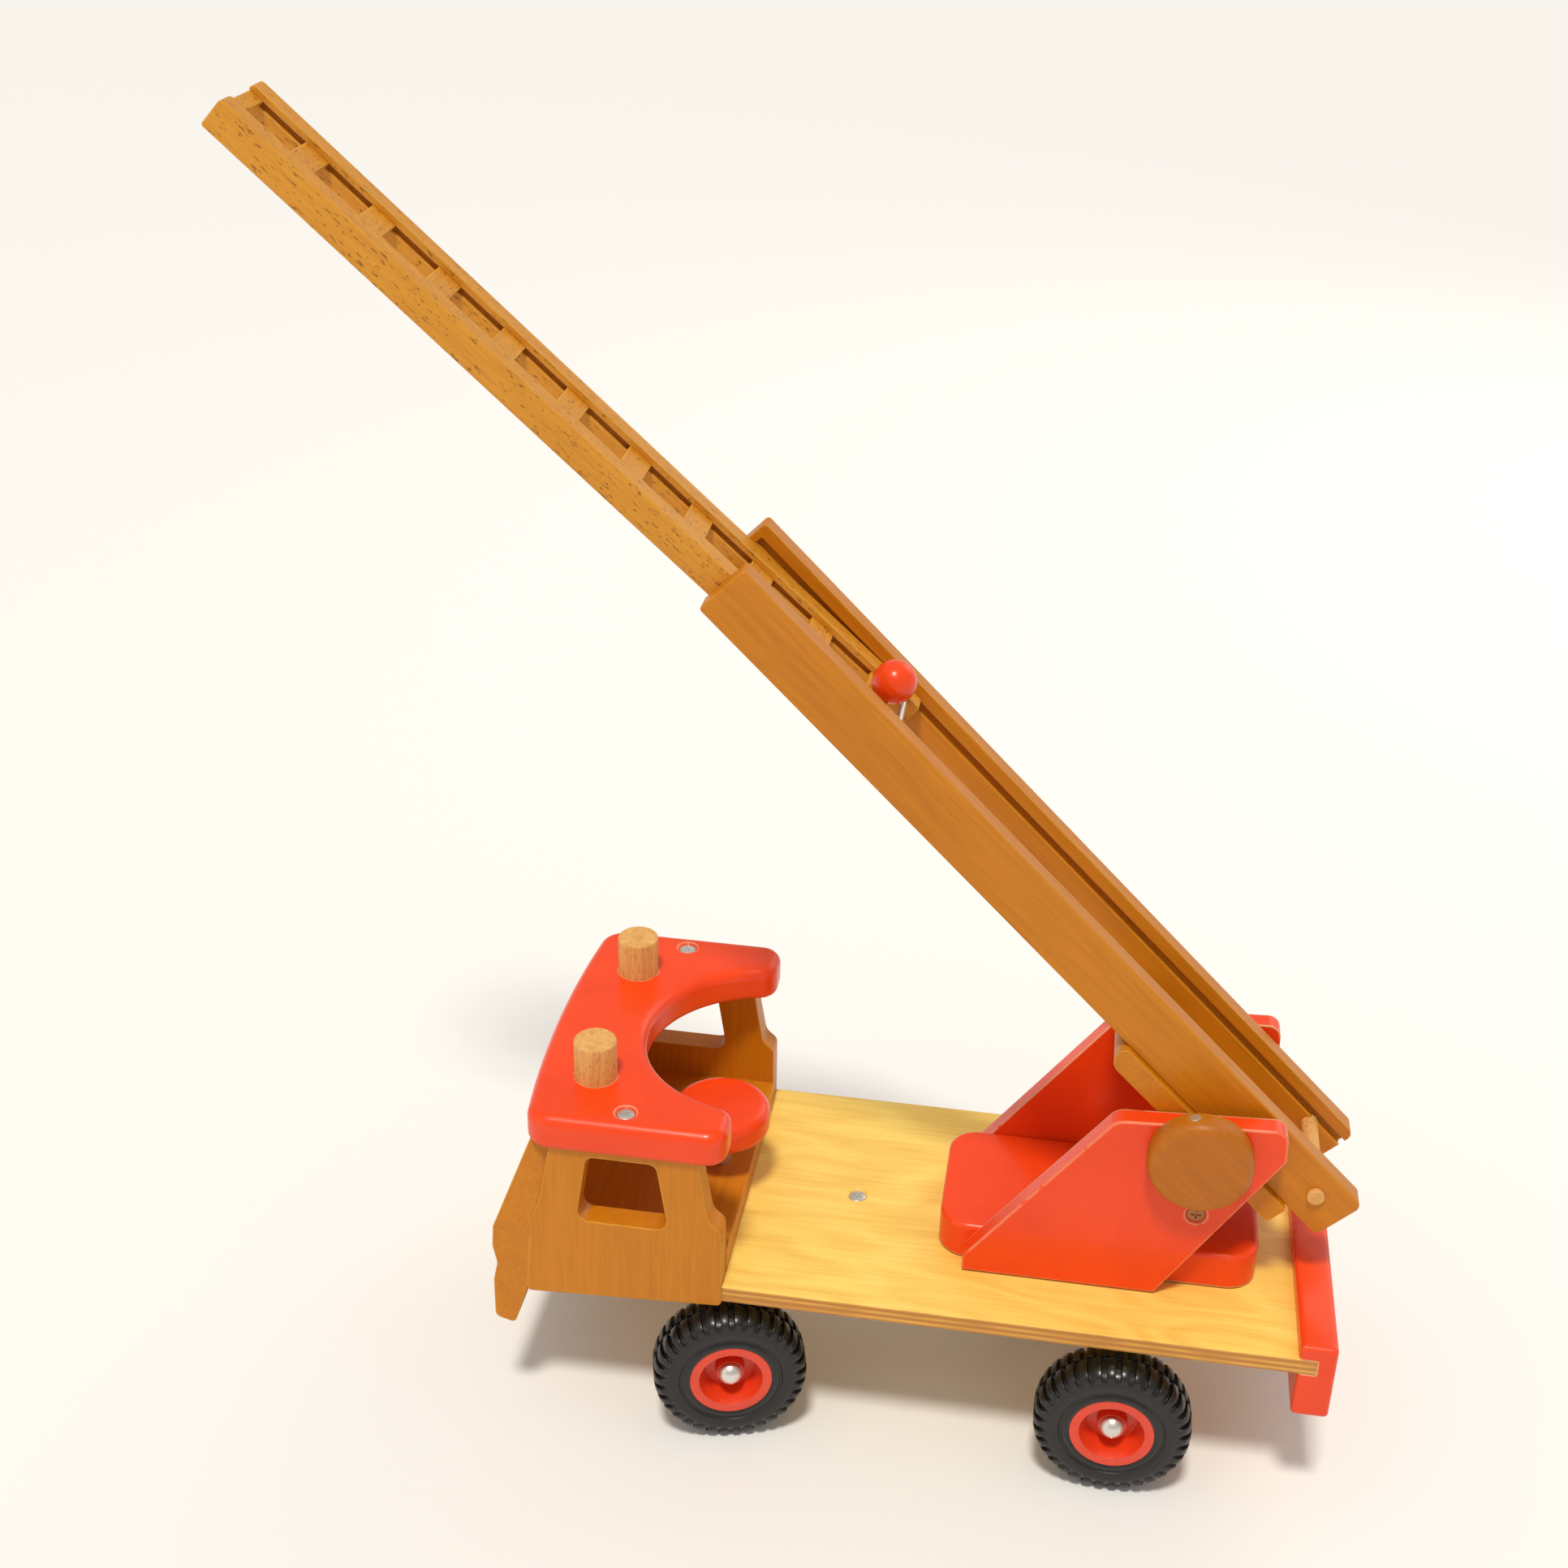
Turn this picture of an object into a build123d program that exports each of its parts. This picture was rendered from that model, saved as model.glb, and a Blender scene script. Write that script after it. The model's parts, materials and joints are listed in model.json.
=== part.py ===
from build123d import *
import os
from math import cos, radians, sin

# Toy fire engine with a two-part extending ladder, all lengths in millimetres.
# The design frame has x = 0 where the deck meets the rear bumper's front face, +X towards the tail,
# y = 0 on the centre line, the left-hand side at -Y, and z = 0 on top of the deck.
# At the end everything moves so that the origin lies on the floor under the middle of the whole toy.

# ---- driving dimensions ----
WHEEL_RADIUS = 30.0
TYRE_WIDTH = 19.4
HUB_RADIUS = 16.0
AXLE_RADIUS = 2.0
AXLE_HEIGHT = -41.65          # axle centre below the deck's top
WHEEL_FACE = 72.8             # centre line to a wheel's outer face
REAR_AXLE_X = -64.9
STEER_X = -229.5              # steering column, above the middle of the front axle
STEER_ANGLE = 14.0            # degrees, the front wheels are turned a little to the left
RUN = 0.08                    # radial clearance of a running fit
GAP = 0.3                     # clearance between pieces that move past each other

HUB_BOSS = 4.0                # hub boss inside the wheel's inner face
BOSS_FACE = 14.5              # hub boss, outer end above the wheel's inner face
CAP_FACE = BOSS_FACE + GAP
AXLE_END = 16.6

DECK_THICK = 6.5
DECK_HALF = 65.7
DECK_FRONT = -291.0
DECK_REAR = 6.8               # end of the deck inside the bumper's notch
BUMPER_LENGTH = 13.9
BUMPER_TOP = 6.2
BUMPER_BOTTOM = -26.8

WALL_OUTER = 66.2
WALL_THICK = 10.0
WALL_INNER = WALL_OUTER - WALL_THICK
CAB_REAR = -217.0
CAB_FLOOR_TOP = 10.0
ROOF_BOTTOM = 57.5
ROOF_TOP = 72.0
ROOF_HALF = 68.4
ROOF_REAR = -216.0
CUTOUT_X = -211.0
CUTOUT_RADIUS = 47.9
PEG_X = -271.6
PEG_Y = 37.7
PEG_RADIUS = 8.2
PEG_TOP = 88.6
PEG_DEPTH = 10.0
ROOF_SCREW = (-255.2, 58.9)
DECK_SCREW_X = -173.0
FLOOR_SCREW_X = -266.0

BEAM_HALF_WIDTH = 15.0
BEAM_DEPTH = 20.0
BEAM_FRONT = -252.0
BEAM_REAR = -42.0
BLOCK_HALF_X = 11.0
BLOCK_BOTTOM = -50.0
WASHER_THICK = 0.8
COLUMN_RADIUS = 4.0
STEERING_WHEEL_RADIUS = 19.6
STEERING_WHEEL_BOTTOM = 25.0
STEERING_WHEEL_TOP = 38.5

TURN_X = -76.5                # turntable's vertical pivot
TURN_FRONT = -138.0
TURN_REAR = -15.0
TURN_HALF = 31.0
TURN_TOP = 16.0
BOLT_RADIUS = 3.0
CHEEK_THICK = 8.0
CHEEK_INNER = TURN_HALF
CHEEK_OUTER = CHEEK_INNER + CHEEK_THICK
SPACER = (-41.8, 39.9, 5.5)   # x, z and radius of the dowel between the cheeks

PIVOT_X = -43.1               # ladder's elevation axis
PIVOT_Z = 67.1
PIVOT_RADIUS = 3.0
KNOB_RADIUS = 19.5
KNOB_FACE = 48.4
KNOB_FACE_RADIUS = 15.8

LADDER_ANGLE = 44.58          # degrees above the horizontal
FOOT_X = 4.42                 # lower back corner of the ladder's foot
FOOT_Z = 27.62
RAIL_LENGTH = 335.9
RAIL_DEPTH = 22.0
RAIL_INNER = 18.6
RAIL_OUTER = 26.9
TRACK_LOW = 14.3              # sliding groove in the outer rails
TRACK_HIGH = 17.3
TRACK_DEPTH = 3.0
TRACK_STOP = 3.0
BAR_START = 18.0
BAR_END = 110.0
BAR_THICK = 9.0
BAR_HALF = 30.0
FOOT_DOWEL = (14.9, 11.5, 3.3)
MOUTH_BAR = (322.0, 334.0, 1.4)

FLY_ANGLE = 41.65             # the extended fly droops a little in its tracks
FLY_TIP_X = -401.67
FLY_TIP_Z = 415.17
FLY_LENGTH = 313.6
FLY_DEPTH = 11.5
FLY_INNER = 10.3
FLY_OUTER = 18.3
RUNG_LOW = 6.8
RUNG_HIGH = 9.1
RUNG_LET_IN = 3.0
RUNG_WIDTH = 10.0
RUNG_FIRST = 24.9
RUNG_PITCH = 29.6
RUNG_COUNT = 10
TIP_RUNG = (0.6, 6.0)
PIN_U = 254.6                 # slide pin, along the outer ladder from its foot
PIN_RADIUS = 1.4
BALL_RADIUS = 8.0

SOLIDS = {}


def side_face(corners, radii):
    """Close an outline in the side view, given as (x, z) corners with a rounding for each."""
    outline = FilletPolyline(*corners, radius=radii, close=True)
    return Plane.XZ * make_face(outline)


def across(face, low, high):
    """Extrude a side-view face over the toy's width, from y = low to y = high."""
    return Pos(0, high, 0) * extrude(face, amount=high - low)


def mirrored(solid):
    """Return the same piece for the other side of the centre line."""
    return mirror(solid, about=Plane.XZ)


def pair(name, right_solid):
    """Store a piece of the right-hand side and its mirror image on the left."""
    SOLIDS[name + "_right"] = right_solid
    SOLIDS[name + "_left"] = mirrored(right_solid)


def rod_across(x, z, radius, low, high):
    """Make a round rod along Y."""
    return Pos(x, (low + high) / 2, z) * Rot(90, 0, 0) * Cylinder(radius, high - low)


def rod_up(x, y, radius, low, high):
    """Make a round rod along Z."""
    return Pos(x, y, (low + high) / 2) * Cylinder(radius, high - low)


def block(x_range, y_range, z_range):
    """Make a square block between three pairs of limits."""
    centre = [(low + high) / 2 for low, high in (x_range, y_range, z_range)]
    size = [high - low for low, high in (x_range, y_range, z_range)]
    return Pos(*centre) * Box(*size)


def turned(points):
    """Turn a profile of (radius, height) points about the Y axis."""
    return revolve(make_face(Polyline(*points, close=True)), Axis.Y)


def wood_screw(length):
    """A countersunk screw that points down, with its slightly domed head at z = 0."""
    head = 4.3
    shank = 1.75
    profile = Polyline((0, 0.5), (head * 0.6, 0.35), (head, 0), (shank, -2.6), (shank, -length), (0, -length),
                       close=True)
    return revolve(Plane.XZ * make_face(profile), Axis.Z)


# ---- deck, bumper and chassis ----

def deck():
    """The plywood deck, narrower where the cab's walls cover its edges."""
    board = block((DECK_FRONT, DECK_REAR), (-DECK_HALF, DECK_HALF), (-DECK_THICK, 0))
    for side in (-1, 1):
        edges = sorted((side * WALL_INNER, side * (DECK_HALF + 1)))
        board -= block((DECK_FRONT - 1, CAB_REAR), edges, (-DECK_THICK - 1, 1))
    return board


def bumper():
    """The rear bumper beam with the notch that the deck's end sits in."""
    beam = block((0, BUMPER_LENGTH), (-DECK_HALF, DECK_HALF), (BUMPER_BOTTOM, BUMPER_TOP))
    beam = fillet(beam.edges(), 1.8)
    return beam - block((-1, DECK_REAR), (-DECK_HALF - 1, DECK_HALF + 1), (-DECK_THICK, 0))


def beam():
    """The chassis beam under the deck."""
    return block((BEAM_FRONT, BEAM_REAR), (-BEAM_HALF_WIDTH, BEAM_HALF_WIDTH),
                 (-DECK_THICK - BEAM_DEPTH, -DECK_THICK))


def axle_block(top):
    """A cross block that carries an axle, centred on x = 0."""
    half = WHEEL_FACE - TYRE_WIDTH - HUB_BOSS - GAP
    body = block((-BLOCK_HALF_X, BLOCK_HALF_X), (-half, half), (BLOCK_BOTTOM, top))
    body = fillet(body.edges().filter_by(Axis.Y), 2.0)
    return body - rod_across(0, AXLE_HEIGHT, AXLE_RADIUS, -half - 1, half + 1)


# ---- wheels ----

def tyre():
    """A tyre on the Y axis, from its inner face at y = 0 to its outer face."""
    shoulder = 6.0
    face_radius = 25.2
    with BuildSketch() as section:
        with BuildLine():
            Line((HUB_RADIUS, 0), (face_radius, 0))
            ThreePointArc((face_radius, 0), (28.6, 2.1), (WHEEL_RADIUS, shoulder))
            Line((WHEEL_RADIUS, shoulder), (WHEEL_RADIUS, TYRE_WIDTH - shoulder))
            ThreePointArc((WHEEL_RADIUS, TYRE_WIDTH - shoulder), (28.6, TYRE_WIDTH - 2.1),
                          (face_radius, TYRE_WIDTH))
            Line((face_radius, TYRE_WIDTH), (HUB_RADIUS, TYRE_WIDTH))
            Line((HUB_RADIUS, TYRE_WIDTH), (HUB_RADIUS, 0))
        make_face()
    return revolve(section.sketch, Axis.Y)


def hub():
    """A dished hub with a boss around the axle, inside its tyre."""
    bore = AXLE_RADIUS + RUN
    rim_face = TYRE_WIDTH - 0.4
    dish = 10.5
    return turned([(bore, -HUB_BOSS), (7.0, -HUB_BOSS), (7.0, 0), (HUB_RADIUS, 0), (HUB_RADIUS, rim_face),
                   (12.4, rim_face), (9.6, dish), (5.8, dish), (5.4, BOSS_FACE), (bore, BOSS_FACE)])


def axle_cap():
    """A domed steel cap pressed on an axle's end."""
    radius = 4.6
    height = 4.0
    dome_radius = 5.2
    shell = rod_across(0, 0, radius, CAP_FACE, CAP_FACE + height)
    shell &= Pos(0, CAP_FACE + height - dome_radius, 0) * Sphere(dome_radius)
    return shell - rod_across(0, 0, AXLE_RADIUS, CAP_FACE - 1, AXLE_END)


def axle_set(end, place):
    """Store an axle with its wheels and caps, for an axle centre at place."""
    inner_face = WHEEL_FACE - TYRE_WIDTH
    caps = []
    for side, turn in (("right", 0), ("left", 180)):
        at_side = place * Pos(0, 0, AXLE_HEIGHT) * Rot(0, 0, turn) * Pos(0, inner_face, 0)
        SOLIDS[f"{end}_tyre_{side}"] = at_side * tyre()
        SOLIDS[f"{end}_hub_{side}"] = at_side * hub()
        caps.append(at_side * axle_cap())
    half = inner_face + AXLE_END
    SOLIDS[f"{end}_axle"] = place * rod_across(0, AXLE_HEIGHT, AXLE_RADIUS, -half, half)
    SOLIDS[f"{end}_axle_caps"] = Compound(caps)


# ---- cab ----

FRONT_REAR_FACE = [(-283.3, ROOF_BOTTOM), (-287.2, 34.0), (-291.2, 22.3), (-293.9, -12.6)]


def cab_side():
    """The right-hand cab wall with its window."""
    corners = [(CAB_REAR, -8.5), (CAB_REAR - 0.3, 26.5), (-222.0, 30.5), (-224.5, 44.5), (-226.4, ROOF_BOTTOM),
               *FRONT_REAR_FACE]
    wall = across(side_face(corners, [2, 4, 7, 0, 0, 0, 6, 3, 2]), WALL_INNER, WALL_OUTER)
    window = side_face([(-273.5, 24.5), (-237.5, 24.5), (-242.4, 54.8), (-269.0, 54.8)], [4.5, 4.5, 3.5, 3.5])
    wall -= across(window, WALL_INNER - 1, WALL_OUTER + 1)
    return wall - roof_screw()


def cab_front():
    """The full-width front block with a sloping windscreen, bevelled at its upper ends."""
    corners = [(-291.4, ROOF_BOTTOM), (-306.3, 16.8), (-306.9, 7.3), (-305.2, -0.8), (-306.9, -9.2),
               (-306.9, -27.6), (-299.0, -29.9), (-295.6, -18.0), *reversed(FRONT_REAR_FACE)]
    radii = [0, 1.2, 5, 8, 8, 3.0, 2.0, 6, 2, 3, 6, 0]
    nose = across(side_face(corners, radii), -WALL_OUTER, WALL_OUTER)
    bevel_start = 17.7
    rise = ROOF_BOTTOM - bevel_start + 4
    lean = 4.6
    wedge = Plane.YZ * make_face(Polyline((WALL_OUTER, 0), (WALL_OUTER + 3, 0), (WALL_OUTER + 3, rise),
                                          (WALL_OUTER - lean, rise), close=True))
    cutter = Pos(-306.3, 0, bevel_start) * Rot(0, -17, 0) * extrude(wedge, amount=60)
    cutter = Pos(-8 * cos(radians(17)), 0, -8 * sin(radians(17))) * cutter
    return nose - cutter - mirrored(cutter)


def cab_floor():
    """The floor board between the cab's walls."""
    board = block((DECK_FRONT, CAB_REAR + 0.3), (-WALL_INNER, WALL_INNER), (0, CAB_FLOOR_TOP))
    column_hole = rod_up(STEER_X, 0, COLUMN_RADIUS + RUN, -1, CAB_FLOOR_TOP + 1)
    return board - column_hole - floor_screw()


def cab_roof():
    """The thick roof with its round cut-out, open to the rear."""
    front_bow = ThreePointArc((-291.6, -ROOF_HALF), (-296.2, 0), (-291.6, ROOF_HALF))
    back = Polyline((-291.6, ROOF_HALF), (ROOF_REAR, ROOF_HALF), (ROOF_REAR, -ROOF_HALF), (-291.6, -ROOF_HALF))
    plan = make_face([front_bow, back]) - Pos(CUTOUT_X, 0) * Circle(CUTOUT_RADIUS)
    front_corners = plan.vertices().sort_by(Axis.X)[:2]
    plan = fillet(front_corners, 10)
    rear_corners = plan.vertices().filter_by_position(Axis.X, ROOF_REAR - 0.1, ROOF_REAR + 0.1)
    plan = fillet(rear_corners, 8)
    slab = Pos(0, 0, ROOF_BOTTOM) * extrude(plan, amount=ROOF_TOP - ROOF_BOTTOM)
    slab = fillet(slab.faces().sort_by(Axis.Z)[-1].edges(), 4.5)
    slab = fillet(slab.faces().sort_by(Axis.Z)[0].edges(), 3.0)
    for side in (-1, 1):
        slab -= rod_up(PEG_X, side * PEG_Y, PEG_RADIUS, ROOF_TOP - PEG_DEPTH, ROOF_TOP + 1)
    return slab - roof_screw() - mirrored(roof_screw())


def roof_peg():
    """One of the two pegs that the lowered ladder lies between."""
    peg = rod_up(PEG_X, PEG_Y, PEG_RADIUS, ROOF_TOP - PEG_DEPTH, PEG_TOP)
    return fillet(peg.edges().sort_by(Axis.Z)[-1], 1.2)


def roof_screw():
    """The right-hand screw through the roof into the cab wall."""
    return Pos(*ROOF_SCREW, ROOF_TOP) * wood_screw(34)


def deck_screw():
    """The screw through the deck into the chassis beam."""
    return Pos(DECK_SCREW_X, 0, 0) * wood_screw(22)


def floor_screw():
    """The screw through the cab floor and the deck."""
    return Pos(FLOOR_SCREW_X, 0, CAB_FLOOR_TOP) * wood_screw(16)


# ---- steering ----

def steering_wheel():
    """The thick round steering wheel on top of the column."""
    wheel = rod_up(STEER_X, 0, STEERING_WHEEL_RADIUS, STEERING_WHEEL_BOTTOM, STEERING_WHEEL_TOP)
    wheel = fillet(wheel.edges(), 4.5)
    return wheel - rod_up(STEER_X, 0, COLUMN_RADIUS, STEERING_WHEEL_BOTTOM - 1, STEERING_WHEEL_BOTTOM + 9)


def steering_set():
    """Store the steered front axle, its block, washer, column and wheel."""
    beam_bottom = -DECK_THICK - BEAM_DEPTH
    block_top = beam_bottom - WASHER_THICK
    turned_place = Pos(STEER_X, 0, 0) * Rot(0, 0, STEER_ANGLE)
    column = rod_up(STEER_X, 0, COLUMN_RADIUS, AXLE_HEIGHT + AXLE_RADIUS, STEERING_WHEEL_BOTTOM + 9)
    SOLIDS["steering_block"] = turned_place * axle_block(block_top) - column
    washer = rod_up(STEER_X, 0, 10.5, block_top, beam_bottom)
    SOLIDS["steering_washer"] = washer - column
    SOLIDS["steering_column"] = column
    SOLIDS["steering_wheel"] = steering_wheel()
    axle_set("front", turned_place)


# ---- turntable ----

def turntable_base():
    """The rounded turntable slab."""
    slab = block((TURN_FRONT, TURN_REAR), (-TURN_HALF, TURN_HALF), (WASHER_THICK, TURN_TOP))
    slab = fillet(slab.edges().filter_by(Axis.Z), 12)
    slab = fillet(slab.faces().sort_by(Axis.Z)[-1].edges(), 2)
    for side in (-1, 1):
        edges = sorted((side * CHEEK_INNER, side * (CHEEK_INNER + 2)))
        slab -= block((TURN_FRONT, TURN_REAR), edges, (WASHER_THICK, TURN_TOP))
    return slab - turntable_bolt()


def turntable_bolt():
    """The pivot bolt that holds the turntable on the deck, with a low domed head."""
    shank = rod_up(TURN_X, 0, BOLT_RADIUS, -DECK_THICK - BEAM_DEPTH + 2, TURN_TOP)
    head = rod_up(TURN_X, 0, 6.5, TURN_TOP, TURN_TOP + 3)
    return shank + fillet(head.edges().sort_by(Axis.Z)[-1], 2.2)


def cheek():
    """The right-hand cheek that carries the ladder's axle."""
    corners = [(-127.5, WASHER_THICK), (-53.8, WASHER_THICK), (-12.0, 68.3), (-12.6, 81.9), (-75.0, 78.5),
               (-127.6, 7.3)]
    plate = across(side_face(corners, [0, 0, 2, 5, 7, 1.5]), CHEEK_INNER, CHEEK_OUTER)
    plate = fillet(plate.faces().sort_by(Axis.Y)[-1].edges(), 0.6)
    plate -= rod_across(PIVOT_X, PIVOT_Z, PIVOT_RADIUS + RUN, CHEEK_INNER - 1, CHEEK_OUTER + 1)
    return plate - cheek_screw()


def cheek_screw():
    """The right-hand screw through the cheek into the spacer dowel."""
    return Pos(SPACER[0], CHEEK_OUTER, SPACER[1]) * Rot(-90, 0, 0) * wood_screw(24)


def cheek_spacer():
    """The dowel between the two cheeks."""
    dowel = rod_across(*SPACER, -CHEEK_INNER, CHEEK_INNER)
    return dowel - cheek_screw() - mirrored(cheek_screw())


# ---- ladder ----

def direction(angle):
    """Plane axes of a ladder section: along it and out of its back."""
    lean = radians(angle)
    return (-cos(lean), 0, sin(lean)), (sin(lean), 0, cos(lean))


ALONG, OUTWARD = direction(LADDER_ANGLE)
LADDER = Plane((FOOT_X, 0, FOOT_Z), x_dir=ALONG, z_dir=OUTWARD).location
FLY_ALONG, FLY_OUTWARD = direction(FLY_ANGLE)
FLY_DOWN = tuple(-value for value in FLY_ALONG)
FLY = Plane((FLY_TIP_X, 0, FLY_TIP_Z), x_dir=FLY_DOWN, z_dir=FLY_OUTWARD).location
PIN_N = (TRACK_LOW + TRACK_HIGH) / 2


def in_ladder(point):
    """Return the ladder coordinates (u, n) of a design point (x, z)."""
    offset = (point[0] - FOOT_X, point[1] - FOOT_Z)
    return (offset[0] * ALONG[0] + offset[1] * ALONG[2], offset[0] * OUTWARD[0] + offset[1] * OUTWARD[2])


def outer_rail():
    """The left-hand outer rail in ladder coordinates, with its sliding track."""
    face = side_face([(0, 0), (RAIL_LENGTH, 0), (RAIL_LENGTH, RAIL_DEPTH), (0, RAIL_DEPTH)], [2.5, 1.5, 1.5, 3.5])
    rail = across(face, RAIL_INNER, RAIL_OUTER)
    rail = fillet(rail.faces().sort_by(Axis.Y)[-1].edges(), 0.6)
    track = block((-1, RAIL_LENGTH - TRACK_STOP), (RAIL_INNER - 1, RAIL_INNER + TRACK_DEPTH),
                  (TRACK_LOW, TRACK_HIGH))
    return rail - track - rod_across(*FOOT_DOWEL, RAIL_INNER - 1, RAIL_OUTER + 1)


def pivot_bar(pivot):
    """The bar under the outer rails that the axle goes through."""
    face = side_face([(BAR_START, -BAR_THICK), (BAR_END, -BAR_THICK), (BAR_END, 0), (BAR_START, 0)],
                     [2, 5.5, 2.5, 0.5])
    bar = across(face, -BAR_HALF, BAR_HALF)
    return bar - rod_across(*pivot, PIVOT_RADIUS, -BAR_HALF - 1, BAR_HALF + 1)


def knob():
    """The right-hand knob about the ladder's axle."""
    body = rod_across(PIVOT_X, PIVOT_Z, KNOB_RADIUS, CHEEK_OUTER + GAP, KNOB_FACE)
    body = fillet(body.edges().sort_by(Axis.Y)[-1], KNOB_RADIUS - KNOB_FACE_RADIUS)
    body -= rod_across(PIVOT_X, PIVOT_Z, PIVOT_RADIUS, CHEEK_OUTER, KNOB_FACE - 2)
    return body - knob_nail()


def knob_nail():
    """The nail through the right-hand knob's rim into the axle."""
    length = 16.0
    tilt = -12.0
    nail = Pos(0, 0, KNOB_RADIUS - length / 2) * Cylinder(0.9, length)
    head = Pos(0, 0, KNOB_RADIUS) * Cylinder(2.0, 0.9)
    place = Pos(PIVOT_X, CHEEK_OUTER + 3.3, PIVOT_Z) * Rot(0, tilt, 0)
    return place * (nail + head)


def fly_rail(pin):
    """The right-hand fly rail in fly coordinates, with the groove that holds the rungs."""
    face = side_face([(0, 0), (FLY_LENGTH, 0), (FLY_LENGTH, FLY_DEPTH), (0, FLY_DEPTH)], [1, 1, 1, 1.5])
    rail = across(face, FLY_INNER, FLY_OUTER)
    rail = fillet(rail.faces().sort_by(Axis.Y)[-1].edges(), 0.5)
    groove = block((-1, RUNG_FIRST + RUNG_PITCH * (RUNG_COUNT - 1) + RUNG_WIDTH),
                   (FLY_INNER - 1, FLY_INNER + RUNG_LET_IN), (RUNG_LOW, RUNG_HIGH))
    return rail - groove - rod_across(*pin, PIN_RADIUS + RUN, FLY_INNER - 1, FLY_OUTER + 1)


def rung(start, end):
    """A flat rung let into the fly rails' grooves."""
    half = FLY_INNER + RUNG_LET_IN
    return block((start, end), (-half, half), (RUNG_LOW, RUNG_HIGH))


def ball_and_stem():
    """The pull ball on top of the last rung and the peg that holds it."""
    centre = RUNG_FIRST + RUNG_PITCH * (RUNG_COUNT - 1) + RUNG_WIDTH / 2 + 1.0
    sink = 0.5
    height = RUNG_HIGH + BALL_RADIUS - sink
    stem = rod_up(centre, 0, 2.5, RUNG_LOW, height)
    ball = Pos(centre, 0, height) * Sphere(BALL_RADIUS)
    ball -= block((centre - 9, centre + 9), (-9, 9), (height - 9, RUNG_HIGH))
    return ball - stem, stem


def ladder_set():
    """Store the outer ladder with its axle and knobs, the slide pin and the fly."""
    pivot = in_ladder((PIVOT_X, PIVOT_Z))
    rail = outer_rail()
    SOLIDS["outer_rail_left"] = LADDER * rail
    SOLIDS["outer_rail_right"] = LADDER * mirrored(rail)
    SOLIDS["pivot_bar"] = LADDER * pivot_bar(pivot)
    dowel = rod_across(*FOOT_DOWEL, -RAIL_OUTER - 2, RAIL_OUTER + 2)
    SOLIDS["foot_dowel"] = LADDER * fillet(dowel.edges(), 0.6)
    SOLIDS["mouth_bar"] = LADDER * block(MOUTH_BAR[:2], (-RAIL_INNER, RAIL_INNER), (0, MOUTH_BAR[2]))
    nails = [knob_nail(), mirrored(knob_nail())]
    axle = rod_across(PIVOT_X, PIVOT_Z, PIVOT_RADIUS, -KNOB_FACE + 2, KNOB_FACE - 2)
    SOLIDS["pivot_axle"] = axle - nails[0] - nails[1]
    SOLIDS["knob_nails"] = Compound(nails)
    pair("knob", knob())

    reach = RAIL_INNER + TRACK_DEPTH - GAP
    SOLIDS["slide_pin"] = LADDER * rod_across(PIN_U, PIN_N, PIN_RADIUS, -reach, reach)
    pin_place = FLY.inverse() * LADDER * Pos(PIN_U, 0, PIN_N)
    pin = (pin_place.position.X, pin_place.position.Z)
    rail = fly_rail(pin)
    SOLIDS["fly_rail_right"] = FLY * rail
    SOLIDS["fly_rail_left"] = FLY * mirrored(rail)
    SOLIDS["fly_rung_tip"] = FLY * rung(*TIP_RUNG)
    ball, stem = ball_and_stem()
    for index in range(RUNG_COUNT):
        start = RUNG_FIRST + RUNG_PITCH * index
        step = rung(start, start + RUNG_WIDTH)
        if index == RUNG_COUNT - 1:
            step -= stem
        SOLIDS[f"fly_rung_{index + 1:02d}"] = FLY * step
    SOLIDS["pull_ball"] = FLY * ball
    SOLIDS["pull_ball_stem"] = FLY * stem


# ---- assembly ----

def body_set():
    """Store the pieces that don't move against the deck."""
    column_hole = rod_up(STEER_X, 0, COLUMN_RADIUS + RUN, -DECK_THICK - BEAM_DEPTH - 1, 1)
    bolt_hole = rod_up(TURN_X, 0, BOLT_RADIUS + RUN, -DECK_THICK - BEAM_DEPTH - 1, 1)
    holes = column_hole + bolt_hole
    SOLIDS["deck_board"] = deck() - holes - deck_screw() - floor_screw()
    SOLIDS["chassis_beam"] = beam() - holes - deck_screw()
    SOLIDS["rear_bumper"] = bumper()
    SOLIDS["rear_axle_block"] = Pos(REAR_AXLE_X, 0, 0) * axle_block(-DECK_THICK - BEAM_DEPTH)
    pair("cab_side", cab_side())
    SOLIDS["cab_front"] = cab_front()
    SOLIDS["cab_floor"] = cab_floor()
    SOLIDS["cab_roof"] = cab_roof()
    pair("roof_peg", roof_peg())
    SOLIDS["body_screws"] = Compound([roof_screw(), mirrored(roof_screw()), deck_screw(), floor_screw()])
    axle_set("rear", Pos(REAR_AXLE_X, 0, 0))


def turntable_set():
    """Store the turntable that turns on the deck."""
    SOLIDS["turntable_base"] = turntable_base()
    SOLIDS["turntable_washer"] = rod_up(TURN_X, 0, 14, 0, WASHER_THICK) - turntable_bolt()
    SOLIDS["turntable_bolt"] = turntable_bolt()
    pair("cheek", cheek())
    SOLIDS["cheek_screws"] = Compound([cheek_screw(), mirrored(cheek_screw())])
    SOLIDS["cheek_spacer"] = cheek_spacer()


body_set()
steering_set()
turntable_set()
ladder_set()

WHOLE = Compound(list(SOLIDS.values())).bounding_box()
ORIGIN = ((WHOLE.min.X + WHOLE.max.X) / 2, (WHOLE.min.Y + WHOLE.max.Y) / 2, WHOLE.min.Z)
TO_ORIGIN = Pos(*(-value for value in ORIGIN))

os.makedirs("parts", exist_ok=True)
for name, solid in SOLIDS.items():
    export_step(TO_ORIGIN * solid, f"parts/{name}.step")
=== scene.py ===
"""Looks of a wooden toy fire engine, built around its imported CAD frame."""

import enum
import json
import logging
import math
from dataclasses import dataclass, field

import bmesh
import bpy
from mathutils import Matrix, Vector


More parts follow.
